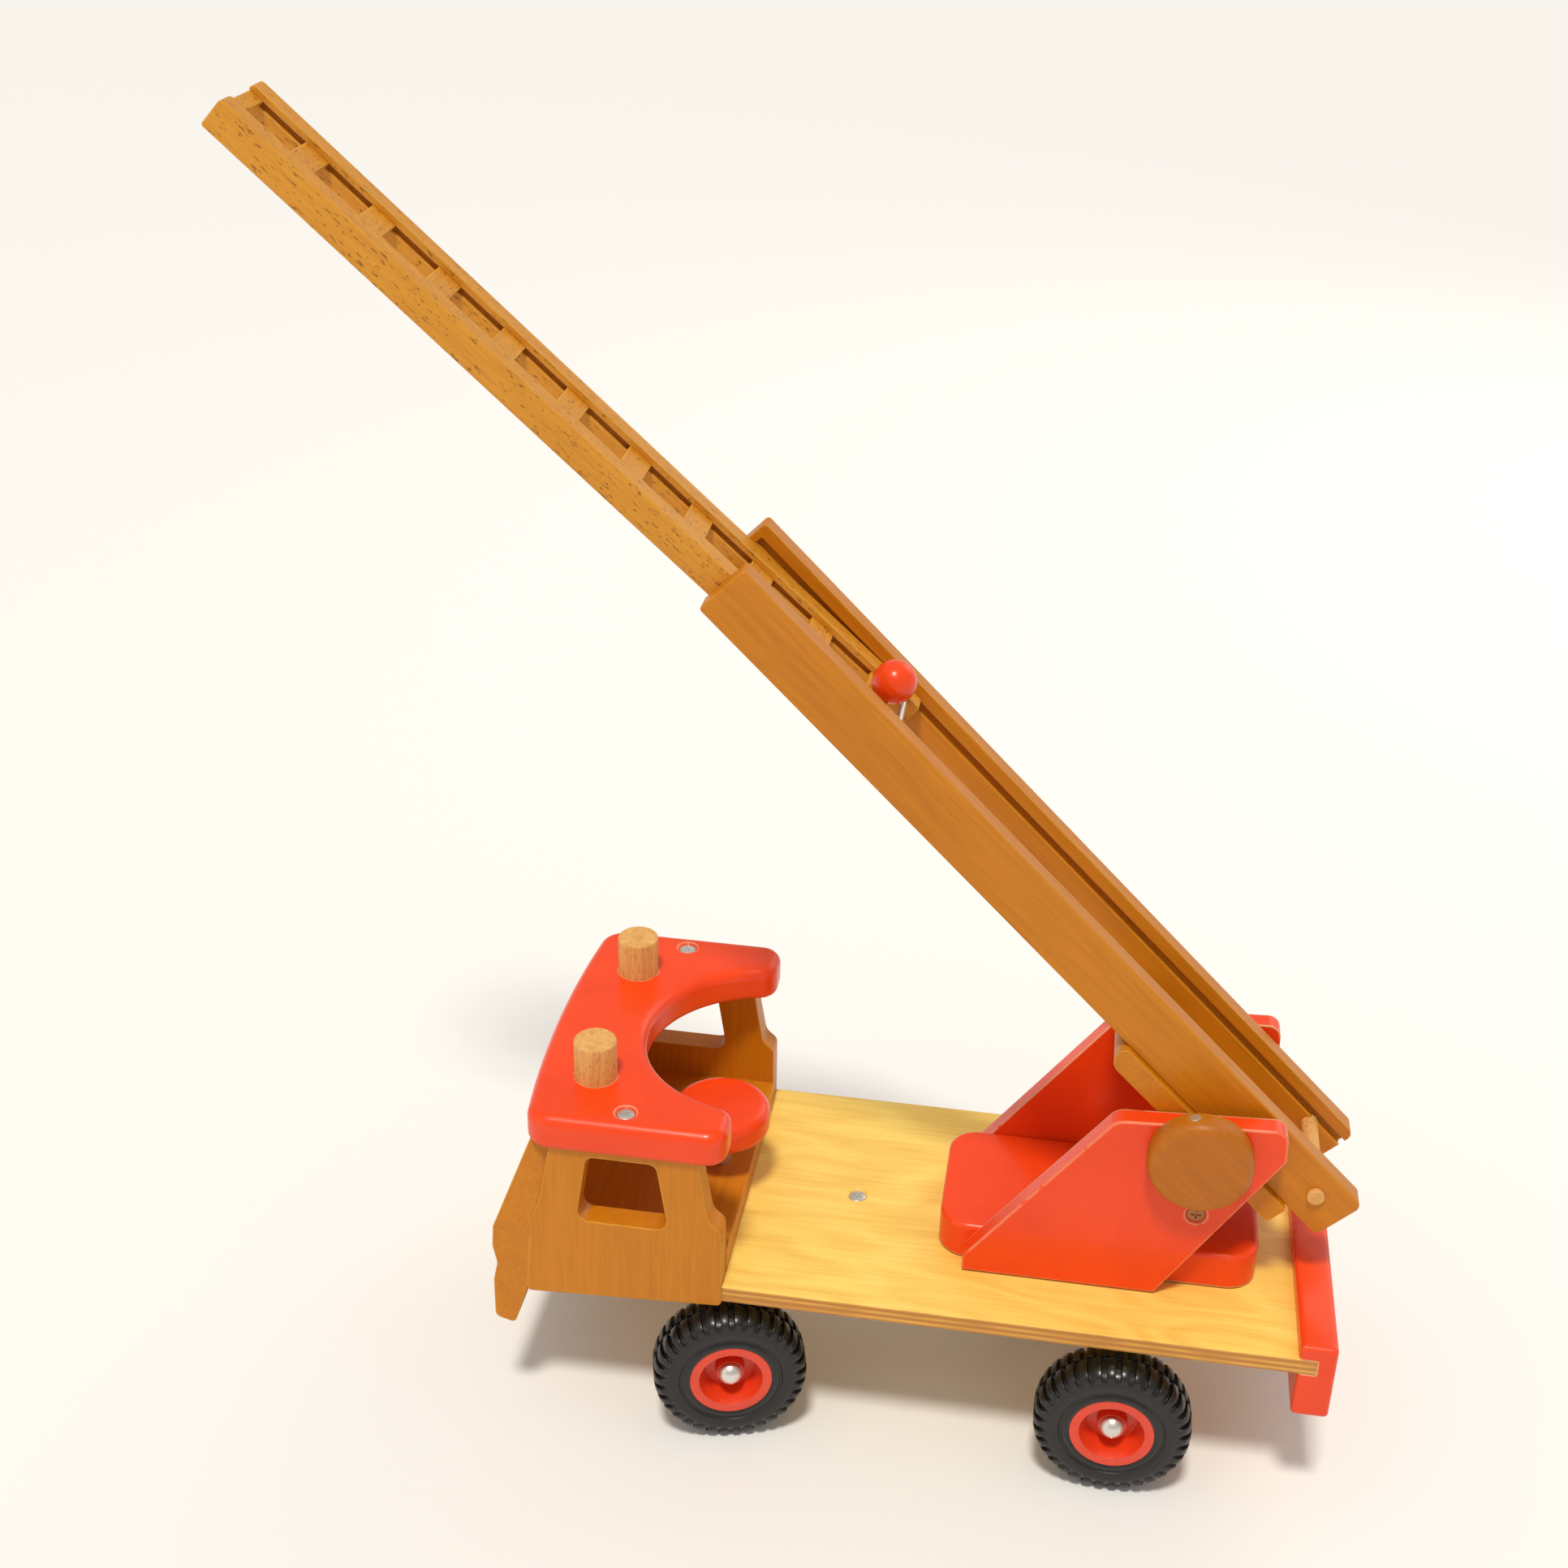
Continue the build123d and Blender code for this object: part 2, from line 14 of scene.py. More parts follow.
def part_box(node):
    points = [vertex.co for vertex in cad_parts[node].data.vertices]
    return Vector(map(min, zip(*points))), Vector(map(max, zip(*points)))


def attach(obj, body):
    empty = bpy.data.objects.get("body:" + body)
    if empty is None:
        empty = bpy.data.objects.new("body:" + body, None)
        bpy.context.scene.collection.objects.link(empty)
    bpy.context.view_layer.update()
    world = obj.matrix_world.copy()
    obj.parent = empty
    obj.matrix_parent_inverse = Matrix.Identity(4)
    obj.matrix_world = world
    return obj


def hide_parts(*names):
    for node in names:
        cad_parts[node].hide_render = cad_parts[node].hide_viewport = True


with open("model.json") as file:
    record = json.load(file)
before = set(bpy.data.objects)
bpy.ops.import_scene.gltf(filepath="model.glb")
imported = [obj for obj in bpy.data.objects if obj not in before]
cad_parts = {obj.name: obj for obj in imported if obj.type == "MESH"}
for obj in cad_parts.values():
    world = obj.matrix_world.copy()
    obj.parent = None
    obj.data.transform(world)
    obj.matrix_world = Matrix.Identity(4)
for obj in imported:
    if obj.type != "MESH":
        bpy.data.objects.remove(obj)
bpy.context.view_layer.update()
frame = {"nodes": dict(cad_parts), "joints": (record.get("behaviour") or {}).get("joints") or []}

logging.basicConfig(level=logging.INFO, format="%(message)s")
LOG = logging.getLogger("fire_engine")
MM = 0.001
LADDER_ANGLE = 44.58
FLY_ANGLE = 41.65
RING_STEP = 0.06
FLECK_BROWN = (0.05, 0.012, 0.002, 1.0)

Socket = bpy.types.NodeSocket
Value = Socket | float
Colour = tuple[float, float, float, float]


# ---- grain directions ----

class Grain(enum.Enum):
    """Which way the wood's grain runs in a piece, as turns that bring it to X."""

    LENGTH = (0.0, 0.0, 0.0)
    WIDTH = (0.0, 0.0, math.radians(-90))
    HEIGHT = (0.0, math.radians(90), 0.0)
    LADDER = (0.0, math.radians(-LADDER_ANGLE), 0.0)
    FLY = (0.0, math.radians(-FLY_ANGLE), 0.0)


# ---- shader node groups ----

class Tree:
    """A thin helper that adds and wires nodes in one node tree."""

    def __init__(self, tree: bpy.types.NodeTree) -> None:
        """Keep the tree that nodes go into."""
        self.tree = tree

    def add(self, kind: str, inputs: dict | None = None, **settings) -> bpy.types.Node:
        """Add a node.

        Args:
            kind: Blender's node type name.
            inputs: input sockets by name or number, each a value or an output socket.
            settings: node properties.

        Returns:
            The new node.
        """
        node = self.tree.nodes.new(kind)
        for name, value in settings.items():
            setattr(node, name, value)
        for key, value in (inputs or {}).items():
            if isinstance(value, Socket):
                self.tree.links.new(value, node.inputs[key])
            else:
                node.inputs[key].default_value = value
        return node

    def math(self, operation: str, *values: Value) -> Socket:
        """Add a Math node, clamped to 0 to 1, and return its output."""
        node = self.add("ShaderNodeMath", dict(enumerate(values)), operation=operation, use_clamp=True)
        return node.outputs[0]

    def mix(self, factor: Value, first: Socket | Colour, second: Socket | Colour) -> Socket:
        """Add a colour Mix node and return its output."""
        node = self.add("ShaderNodeMix", {0: factor, 6: first, 7: second}, data_type="RGBA")
        return node.outputs[2]

    def noise(self, vector: Socket, scale: float, detail: float = 3.0, rough: float = 0.55) -> Socket:
        """Add a Noise Texture and return its value."""
        node = self.add("ShaderNodeTexNoise", {"Vector": vector, "Scale": scale, "Detail": detail,
                                               "Roughness": rough})
        return node.outputs["Fac"]

    def ramp(self, value: Socket, low: float, high: float) -> Socket:
        """Stretch a value smoothly, so that low gives 0 and high gives 1."""
        node = self.add("ShaderNodeMapRange", {0: value, 1: low, 2: high, 3: 0.0, 4: 1.0},
                        interpolation_type="SMOOTHSTEP")
        return node.outputs[0]

    def between(self, value: Socket, low: float, high: float) -> Socket:
        """Turn a value of 0 to 1 into one of low to high."""
        return self.add("ShaderNodeMapRange", {0: value, 3: low, 4: high}).outputs[0]

    def stretched(self, vector: Socket, stretch: tuple[float, float, float]) -> Socket:
        """Scale a vector per axis."""
        return self.add("ShaderNodeMapping", {"Vector": vector, "Scale": stretch}).outputs[0]


def new_group(name: str, inputs: dict[str, tuple], outputs: dict[str, str]
              ) -> tuple[bpy.types.NodeTree, Tree, bpy.types.Node, bpy.types.Node]:
    """Make an empty shader node group.

    Args:
        name: the group's name.
        inputs: socket name to (socket type, default value).
        outputs: socket name to socket type.

    Returns:
        The group, its helper, its input node and its output node.
    """
    group = bpy.data.node_groups.new(name, "ShaderNodeTree")
    for label, (kind, value) in inputs.items():
        socket = group.interface.new_socket(label, in_out="INPUT", socket_type=kind)
        if value is not None:
            socket.default_value = value
    for label, kind in outputs.items():
        group.interface.new_socket(label, in_out="OUTPUT", socket_type=kind)
    tree = Tree(group)
    return group, tree, tree.add("NodeGroupInput"), tree.add("NodeGroupOutput")


FLOAT = "NodeSocketFloat"
COLOUR = "NodeSocketColor"
VECTOR = "NodeSocketVector"


def wood_grain_group() -> bpy.types.NodeTree:
    """Build the grain that all the wooden pieces share.

    Returns:
        A group that takes a vector with X along the grain and puts out a colour and a height.
    """
    group, tree, given, out = new_group(
        "wood_grain",
        {"Vector": (VECTOR, None), "Light": (COLOUR, (1, 1, 1, 1)), "Dark": (COLOUR, (0, 0, 0, 1)),
         "Streaks": (FLOAT, 0.5), "Figure": (FLOAT, 0.3), "Flecks": (FLOAT, 0.0)},
        {"Color": COLOUR, "Height": FLOAT})
    vector = given.outputs["Vector"]
    waver = tree.add("ShaderNodeTexNoise", {"Vector": vector, "Scale": 14.0, "Detail": 2.0})
    waver = tree.add("ShaderNodeVectorMath", {0: waver.outputs["Color"], 3: 0.006}, operation="SCALE")
    bent = tree.add("ShaderNodeVectorMath", {0: vector, 1: waver.outputs[0]}, operation="ADD").outputs[0]
    fine = tree.noise(tree.stretched(bent, (22.0, 650.0, 650.0)), 1.0, 4.0, 0.65)
    broad = tree.noise(tree.stretched(bent, (7.0, 95.0, 95.0)), 1.0, 3.0)
    figure = tree.noise(tree.stretched(bent, (9.0, 30.0, 30.0)), 1.0, 1.5)

    rings = tree.math("PINGPONG", figure, RING_STEP)
    rings = tree.add("ShaderNodeMath", {0: rings, 1: 1 / RING_STEP}, operation="MULTIPLY").outputs[0]
    curl = tree.math("MULTIPLY", tree.ramp(rings, 0.0, 1.0), given.outputs["Figure"])
    streak = tree.math("MULTIPLY", tree.ramp(fine, 0.35, 0.72), given.outputs["Streaks"])
    shade = tree.math("MULTIPLY", tree.ramp(broad, 0.30, 0.75), 0.6)
    shade = tree.math("MULTIPLY", shade, given.outputs["Streaks"])
    dark = tree.math("ADD", tree.math("ADD", streak, shade), curl)
    colour = tree.mix(dark, given.outputs["Light"], given.outputs["Dark"])

    spots = tree.noise(tree.stretched(vector, (330.0, 1500.0, 1500.0)), 1.0, 1.0)
    spots = tree.math("MULTIPLY", tree.ramp(spots, 0.63, 0.70), given.outputs["Flecks"])
    colour = tree.mix(spots, colour, tree.mix(0.72, given.outputs["Dark"], FLECK_BROWN))
    tree.tree.links.new(colour, out.inputs["Color"])
    tree.tree.links.new(tree.math("SUBTRACT", fine, spots), out.inputs["Height"])
    return group


def edge_highlight_and_wear_group() -> bpy.types.NodeTree:
    """Build the edge masks: a plain one that carries painted edge highlights and rubbed paint, and a broken
    one for chipped edges.

    Returns:
        A group that puts out the soft edge normal, the plain edge mask and a broken mask along sharp edges.
    """
    group, tree, given, out = new_group(
        "edge_highlight_and_wear",
        {"Vector": (VECTOR, None), "Radius": (FLOAT, 0.0007), "Breakup": (FLOAT, 160.0),
         "Amount": (FLOAT, 0.5)},
        {"Mask": FLOAT, "Edge": FLOAT, "Normal": VECTOR})
    bevel = tree.add("ShaderNodeBevel", {"Radius": given.outputs["Radius"]}, samples=6)
    surface = tree.add("ShaderNodeNewGeometry")
    along = tree.add("ShaderNodeVectorMath", {0: bevel.outputs[0], 1: surface.outputs["Normal"]},
                     operation="DOT_PRODUCT").outputs["Value"]
    edge = tree.ramp(along, 0.995, 0.90)
    patches = tree.add("ShaderNodeTexNoise", {"Vector": given.outputs["Vector"],
                                              "Scale": given.outputs["Breakup"], "Detail": 4.0})
    limit = tree.math("SUBTRACT", 0.80, tree.math("MULTIPLY", given.outputs["Amount"], 0.5))
    chips = tree.ramp(tree.math("SUBTRACT", patches.outputs["Fac"], limit), 0.0, 0.04)
    tree.tree.links.new(tree.math("MULTIPLY", edge, chips), out.inputs["Mask"])
    # The plain edge mask, used for painted edge highlights.
    tree.tree.links.new(edge, out.inputs["Edge"])
    tree.tree.links.new(bevel.outputs[0], out.inputs["Normal"])
    return group


def handling_group() -> bpy.types.NodeTree:
    """Build the faint smudges and fine scratches of a used toy.

    Returns:
        A group that puts out a smudge mask and a height.
    """
    group, tree, given, out = new_group("handling", {"Vector": (VECTOR, None), "Scale": (FLOAT, 1.0)},
                                        {"Smudge": FLOAT, "Height": FLOAT})
    vector = tree.add("ShaderNodeVectorMath", {0: given.outputs["Vector"], 3: given.outputs["Scale"]},
                      operation="SCALE").outputs[0]
    smudge = tree.ramp(tree.noise(vector, 38.0, 4.0, 0.6), 0.35, 0.75)
    dents = tree.noise(vector, 130.0, 2.0)
    scratches = tree.noise(tree.stretched(vector, (60.0, 900.0, 240.0)), 1.0, 2.0)
    height = tree.math("ADD", tree.math("MULTIPLY", dents, 0.7), tree.math("MULTIPLY", scratches, 0.3))
    tree.tree.links.new(smudge, out.inputs["Smudge"])
    tree.tree.links.new(height, out.inputs["Height"])
    return group


GROUPS = {"grain": wood_grain_group(), "wear": edge_highlight_and_wear_group(), "handling": handling_group()}


# ---- finishes ----

def linear(red: int, green: int, blue: int) -> Colour:
    """Turn a display colour of 0 to 255 into linear light."""
    parts = []
    for value in (red, green, blue):
        share = value / 255
        parts.append(share / 12.92 if share <= 0.04045 else ((share + 0.055) / 1.055) ** 2.4)
    return (*parts, 1.0)


class Surface:
    """One material under construction: its tree, its shader and its object coordinates."""

    def __init__(self, name: str) -> None:
        """Start a material with an empty tree."""
        self.material = bpy.data.materials.new(name)
        self.material.use_nodes = True
        self.material.node_tree.nodes.clear()
        self.tree = Tree(self.material.node_tree)
        self.shader = self.tree.add("ShaderNodeBsdfPrincipled")
        self.tree.add("ShaderNodeOutputMaterial", {"Surface": self.shader.outputs[0]})
        self.coords = self.tree.add("ShaderNodeTexCoord").outputs["Object"]

    def group(self, name: str, inputs: dict) -> bpy.types.Node:
        """Place a shared node group in the material.

        Args:
            name: the group's key in GROUPS.
            inputs: input sockets by name, each a value or an output socket.

        Returns:
            The group's node.
        """
        node = self.tree.add("ShaderNodeGroup", node_tree=GROUPS[name])
        for key, value in inputs.items():
            if isinstance(value, Socket):
                self.tree.tree.links.new(value, node.inputs[key])
            else:
                node.inputs[key].default_value = value
        return node

    def along(self, grain: Grain) -> Socket:
        """Turn the object coordinates so that X runs along the grain."""
        return self.tree.add("ShaderNodeMapping", {"Vector": self.coords, "Rotation": grain.value}).outputs[0]

    def feed(self, **sockets: Socket) -> None:
        """Link outputs to the shader's inputs, with underscores for spaces."""
        for name, socket in sockets.items():
            self.tree.tree.links.new(socket, self.shader.inputs[name.replace("_", " ")])

    def bump(self, height: Socket, strength: float, depth: float, normal: Socket) -> None:
        """Put a Bump node between a height and the shader's normal.

        Args:
            height: the relief.
            strength: how much of it shows.
            depth: its depth in metres.
            normal: the normal that the relief starts from.
        """
        inputs = {"Height": height, "Strength": strength, "Distance": depth, "Normal": normal}
        self.feed(Normal=self.tree.add("ShaderNodeBump", inputs).outputs[0])


@dataclass(frozen=True)
class WoodFinish:
    """A clear or stained finish on wood, with a painted highlight and rubbed wear along its edges."""

    name: str
    light: Colour
    dark: Colour
    # Edge colour: a painted highlight along every edge, and the pale wood of rubbed chips.
    edge: Colour
    streaks: float = 0.45
    figure: float = 0.25
    flecks: float = 0.0
    roughness: float = 0.42
    coat: float = 0.06
    edge_radius: float = 0.0009

    def material(self, grain: Grain) -> bpy.types.Material:
        """Build the finish for one grain direction, once.

        Args:
            grain: which way the piece's grain runs.

        Returns:
            The new material, or the one built before.
        """
        name = f"{self.name}_{grain.name.lower()}"
        found = bpy.data.materials.get(name)
        if found:
            return found
        surface = Surface(name)
        tree = surface.tree
        vector = surface.along(grain)
        wood = surface.group("grain", {"Vector": vector, "Light": self.light, "Dark": self.dark,
                                       "Streaks": self.streaks, "Figure": self.figure, "Flecks": self.flecks})
        wear = surface.group("wear", {"Vector": surface.coords, "Radius": self.edge_radius, "Amount": 0.75,
                                      "Breakup": 60.0})
        marks = surface.group("handling", {"Vector": surface.coords})
        # Painted highlight: every edge is lightened toward the edge colour; the broken chip mask adds real
        # wear on top.
        rubbed_and_highlit = tree.math("MULTIPLY", wear.outputs["Edge"], 0.55)
        rubbed_and_highlit = tree.math("ADD", rubbed_and_highlit, tree.math("MULTIPLY", wear.outputs["Mask"], 0.3))
        colour = tree.mix(rubbed_and_highlit, wood.outputs["Color"], self.edge)
        rough = tree.between(marks.outputs["Smudge"], self.roughness - 0.05, self.roughness + 0.10)
        surface.feed(Base_Color=colour, Roughness=rough)
        surface.shader.inputs["Specular IOR Level"].default_value = 0.3
        surface.shader.inputs["Coat Weight"].default_value = self.coat
        surface.shader.inputs["Coat Roughness"].default_value = 0.25
        surface.bump(wood.outputs["Height"], 0.35, 0.00012, wear.outputs["Normal"])
        return surface.material


@dataclass(frozen=True)
class PlywoodFinish:
    """Clear-lacquered plywood: figured faces and layered edges."""

    name: str
    face_light: Colour
    face_dark: Colour
    ply_light: Colour
    ply_dark: Colour
    top: float
    thickness: float
    layers: int = 5

    def material(self, grain: Grain) -> bpy.types.Material:
        """Build the plywood for a level board.

        Args:
            grain: which way the grain of the faces runs.

        Returns:
            The material.
        """
        surface = Surface(self.name)
        tree = surface.tree
        face = surface.group("grain", {"Vector": surface.along(grain), "Light": self.face_light,
                                       "Dark": self.face_dark, "Streaks": 0.30, "Figure": 0.30})
        wear = surface.group("wear", {"Vector": surface.coords, "Radius": 0.0006, "Amount": 0.6})
        height = tree.add("ShaderNodeSeparateXYZ", {0: surface.coords}).outputs["Z"]
        steps = tree.add("ShaderNodeMapRange", {0: height, 1: self.top - self.thickness, 2: self.top, 3: 0.0,
                                                4: float(self.layers)}, clamp=False).outputs[0]
        odd = tree.add("ShaderNodeMath", {0: steps, 1: 2.0}, operation="MODULO").outputs[0]
        layer = tree.ramp(tree.math("PINGPONG", tree.math("MULTIPLY", odd, 0.5), 0.5), 0.20, 0.30)
        edge_grain = surface.group("grain", {"Vector": surface.along(Grain.LENGTH), "Light": self.ply_light,
                                             "Dark": self.ply_dark, "Streaks": 0.5})
        edge = tree.mix(layer, self.ply_dark, edge_grain.outputs["Color"])
        normal = tree.add("ShaderNodeNewGeometry").outputs["Normal"]
        upright = tree.add("ShaderNodeSeparateXYZ", {0: normal}).outputs["Z"]
        upright = tree.add("ShaderNodeMath", {0: upright}, operation="ABSOLUTE").outputs[0]
        upright = tree.ramp(upright, 0.4, 0.6)
        colour = tree.mix(upright, edge, face.outputs["Color"])
        colour = tree.mix(tree.math("MULTIPLY", wear.outputs["Mask"], 0.5), colour, self.face_light)
        surface.feed(Base_Color=colour)
        surface.shader.inputs["Roughness"].default_value = 0.38
        surface.shader.inputs["Coat Weight"].default_value = 0.2
        surface.bump(face.outputs["Height"], 0.25, 0.0001, wear.outputs["Normal"])
        return surface.material


@dataclass(frozen=True)
class PaintFinish:
    """Brushed gloss paint on wood, chipped to the pale wood along its edges, with a faint painted highlight
    along every edge.
    """

    name: str
    colour: Colour
    shade: Colour
    bare: Colour
    wear: float = 0.5
    roughness: float = 0.30

    def material(self) -> bpy.types.Material:
        """Build the paint."""
        surface = Surface(self.name)
        tree = surface.tree
        wear = surface.group("wear", {"Vector": surface.coords, "Radius": 0.0013, "Amount": self.wear,
                                      "Breakup": 170.0})
        marks = surface.group("handling", {"Vector": surface.coords})
        colour = tree.mix(tree.math("MULTIPLY", marks.outputs["Smudge"], 0.35), self.colour, self.shade)
        # Painted highlight and rubbed paint: every edge is lightened a quarter of the way toward bare wood.
        colour = tree.mix(tree.math("MULTIPLY", wear.outputs["Edge"], 0.25), colour, self.bare)
        colour = tree.mix(wear.outputs["Mask"], colour, self.bare)
        rough = tree.between(marks.outputs["Smudge"], self.roughness - 0.04, self.roughness + 0.08)
        rough = tree.math("ADD", rough, tree.math("MULTIPLY", wear.outputs["Mask"], 0.3))
        surface.feed(Base_Color=colour, Roughness=rough)
        surface.shader.inputs["Specular IOR Level"].default_value = 0.35
        surface.shader.inputs["Coat Weight"].default_value = 0.12
        surface.shader.inputs["Coat Roughness"].default_value = 0.12
        chipped = tree.math("MULTIPLY", wear.outputs["Mask"], 0.5)
        height = tree.math("SUBTRACT", marks.outputs["Height"], chipped)
        surface.bump(height, 0.25, 0.0002, wear.outputs["Normal"])
        return surface.material


@dataclass(frozen=True)
class PlainFinish:
    """Rubber, moulded plastic, fibre or metal, with smudges and a fine texture."""

    name: str
    colour: Colour
    second: Colour
    roughness: float
    spread: float = 0.12
    metallic: float = 0.0
    coat: float = 0.0
    texture: float = 0.2

    def material(self) -> bpy.types.Material:
        """Build the finish."""
        surface = Surface(self.name)
        tree = surface.tree
        marks = surface.group("handling", {"Vector": surface.coords, "Scale": 2.0})
        wear = surface.group("wear", {"Vector": surface.coords, "Radius": 0.0004, "Amount": 0.4})
        colour = tree.mix(tree.math("MULTIPLY", marks.outputs["Smudge"], 0.5), self.colour, self.second)
        rough = tree.between(marks.outputs["Smudge"], self.roughness, self.roughness + self.spread)
        surface.feed(Base_Color=colour, Roughness=rough)
        surface.shader.inputs["Metallic"].default_value = self.metallic
        surface.shader.inputs["Coat Weight"].default_value = self.coat
        surface.bump(marks.outputs["Height"], self.texture, 0.0001, wear.outputs["Normal"])
        return surface.material


DECK_LOW, DECK_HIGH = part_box("deck_board")
STAINED = WoodFinish("stained_beech", linear(204, 126, 16), linear(156, 82, 8), linear(236, 168, 46),
                     streaks=0.26, figure=0.05)
KNOB_BEECH = WoodFinish("knob_beech", linear(186, 106, 14), linear(150, 78, 8), linear(240, 172, 50),
                        streaks=0.3, figure=0.1, edge_radius=0.003)
LADDER_BEECH = WoodFinish("ladder_beech", linear(216, 148, 42), linear(176, 102, 22), linear(242, 188, 90),
                          streaks=0.3, flecks=0.7, figure=0.03)
BARE_BEECH = WoodFinish("plain_beech", linear(234, 182, 108), linear(190, 128, 64), linear(240, 204, 140),
                        flecks=0.5, figure=0.1, roughness=0.6, coat=0.0)
DECK = PlywoodFinish("birch_plywood", linear(252, 220, 112), linear(226, 176, 66), linear(228, 170, 66),
                     linear(186, 118, 36), DECK_HIGH.z, DECK_HIGH.z - DECK_LOW.z)
PAINT = PaintFinish("red_paint", linear(240, 70, 16), linear(218, 50, 10), linear(248, 206, 158), wear=0.9)
RUBBER = PlainFinish("tyre", linear(10, 9, 8), linear(18, 17, 16), 0.30, texture=0.12, coat=0.1)
HUB_PLASTIC = PlainFinish("red_hub", linear(228, 62, 26), linear(208, 50, 20), 0.22, coat=0.3, texture=0.05)
STEEL = PlainFinish("steel", linear(232, 229, 222), linear(190, 186, 178), 0.30, metallic=0.9)
OLD_STEEL = PlainFinish("steel_dull", linear(186, 128, 80), linear(150, 98, 60), 0.55, metallic=0.4)
FIBRE = PlainFinish("washer_fibre", linear(52, 36, 26), linear(34, 24, 18), 0.8)


# ---- mesh helpers ----

def mesh_object(name: str, mesh_data: bmesh.types.BMesh) -> bpy.types.Object:
    """Turn a bmesh into an object in the scene, with its normals outwards.

    Args:
        name: the object's name.
        mesh_data: the shape, which is freed.

    Returns:
        The object.
    """
    bmesh.ops.recalc_face_normals(mesh_data, faces=mesh_data.faces)
    mesh = bpy.data.meshes.new(name)
    mesh_data.to_mesh(mesh)
    mesh_data.free()
    obj = bpy.data.objects.new(name, mesh)
    bpy.context.collection.objects.link(obj)
    return obj


def turned(profile: list[tuple[float, float]], steps: int) -> bmesh.types.BMesh:
    """Turn a closed profile about the Y axis.

    Args:
        profile: its corners as (radius, y) in millimetres.
        steps: how many steps a full turn takes.

    Returns:
        The turned shape, in metres.
    """
    shape = bmesh.new()
    rings = []
    for index in range(steps):
        angle = 2 * math.pi * index / steps
        rings.append([shape.verts.new((r * MM * math.cos(angle), y * MM, r * MM * math.sin(angle)))
                      for r, y in profile])
    for index, ring in enumerate(rings):
        following = rings[(index + 1) % steps]
        for corner in range(len(profile)):
            after = (corner + 1) % len(profile)
            shape.faces.new((ring[corner], ring[after], following[after], following[corner]))
    return shape


def smooth(obj: bpy.types.Object, angle: float = 35.0) -> None:
    """Shade a mesh smooth, with edges sharper than an angle kept."""
    obj.data.polygons.foreach_set("use_smooth", [True] * len(obj.data.polygons))
    obj.data.set_sharp_from_angle(angle=math.radians(angle))


def plain_mesh(obj: bpy.types.Object) -> None:
    """Bake an object's modifiers into its mesh."""
    graph = bpy.context.evaluated_depsgraph_get()
    mesh = bpy.data.meshes.new_from_object(obj.evaluated_get(graph))
    obj.modifiers.clear()
    obj.data = mesh


def join(target: bpy.types.Object, *others: bpy.types.Object) -> None:
    """Merge other objects' meshes into target's, and remove them."""
    shape = bmesh.new()
    shape.from_mesh(target.data)
    for other in others:
        shape.from_mesh(other.data)
        bpy.data.objects.remove(other)
    shape.to_mesh(target.data)
    shape.free()


# ---- geometry node trees ----

def ring_tree(name: str, material: bpy.types.Material) -> bpy.types.NodeTree:
    """Build a tree that repeats its mesh around the Y axis.

    Args:
        name: the tree's name.
        material: what the repeated pieces are made of.

    Returns:
        A tree with a Count and a Start Angle input.
    """
    tree = bpy.data.node_groups.new(name, "GeometryNodeTree")
    face = tree.interface
    face.new_socket("Piece", in_out="INPUT", socket_type="NodeSocketGeometry")
    face.new_socket("Count", in_out="INPUT", socket_type="NodeSocketInt")
    face.new_socket("Start Angle", in_out="INPUT", socket_type="NodeSocketFloat")
    face.new_socket("Ring", in_out="OUTPUT", socket_type="NodeSocketGeometry")
    add = Tree(tree).add
    given = add("NodeGroupInput")
    turn = add("ShaderNodeMath", {0: math.tau, 1: given.outputs["Count"]}, operation="DIVIDE").outputs[0]
    index = add("GeometryNodeInputIndex").outputs[0]
    angle = add("ShaderNodeMath", {0: index, 1: turn, 2: given.outputs["Start Angle"]},
                operation="MULTIPLY_ADD").outputs[0]
    spin = add("ShaderNodeCombineXYZ", {1: angle}).outputs[0]
    line = add("GeometryNodeMeshLine", {"Count": given.outputs["Count"], "Offset": (0, 0, 0)})
    placing = {"Points": line.outputs[0], "Instance": given.outputs["Piece"], "Rotation": spin}
    points = add("GeometryNodeInstanceOnPoints", placing)
    real = add("GeometryNodeRealizeInstances", {0: points.outputs[0]})
    painted = add("GeometryNodeSetMaterial", {0: real.outputs[0], "Material": material})
    add("NodeGroupOutput", {0: painted.outputs[0]})
    return tree


def repeat_ring(obj: bpy.types.Object, tree: bpy.types.NodeTree, count: int, start: float) -> None:
    """Repeat an object's mesh with a ring tree, and make the result its plain mesh.

    Args:
        obj: the piece to repeat.
        tree: a tree from ring_tree.
        count: how many pieces go round.
        start: the first piece's angle in radians.
    """
    modifier = obj.modifiers.new("ring", "NODES")
    modifier.node_group = tree
    sockets = {item.name: item.identifier for item in tree.interface.items_tree if item.in_out == "INPUT"}
    modifier[sockets["Count"]] = count
    modifier[sockets["Start Angle"]] = start
    plain_mesh(obj)


# ---- sub-assemblies ----

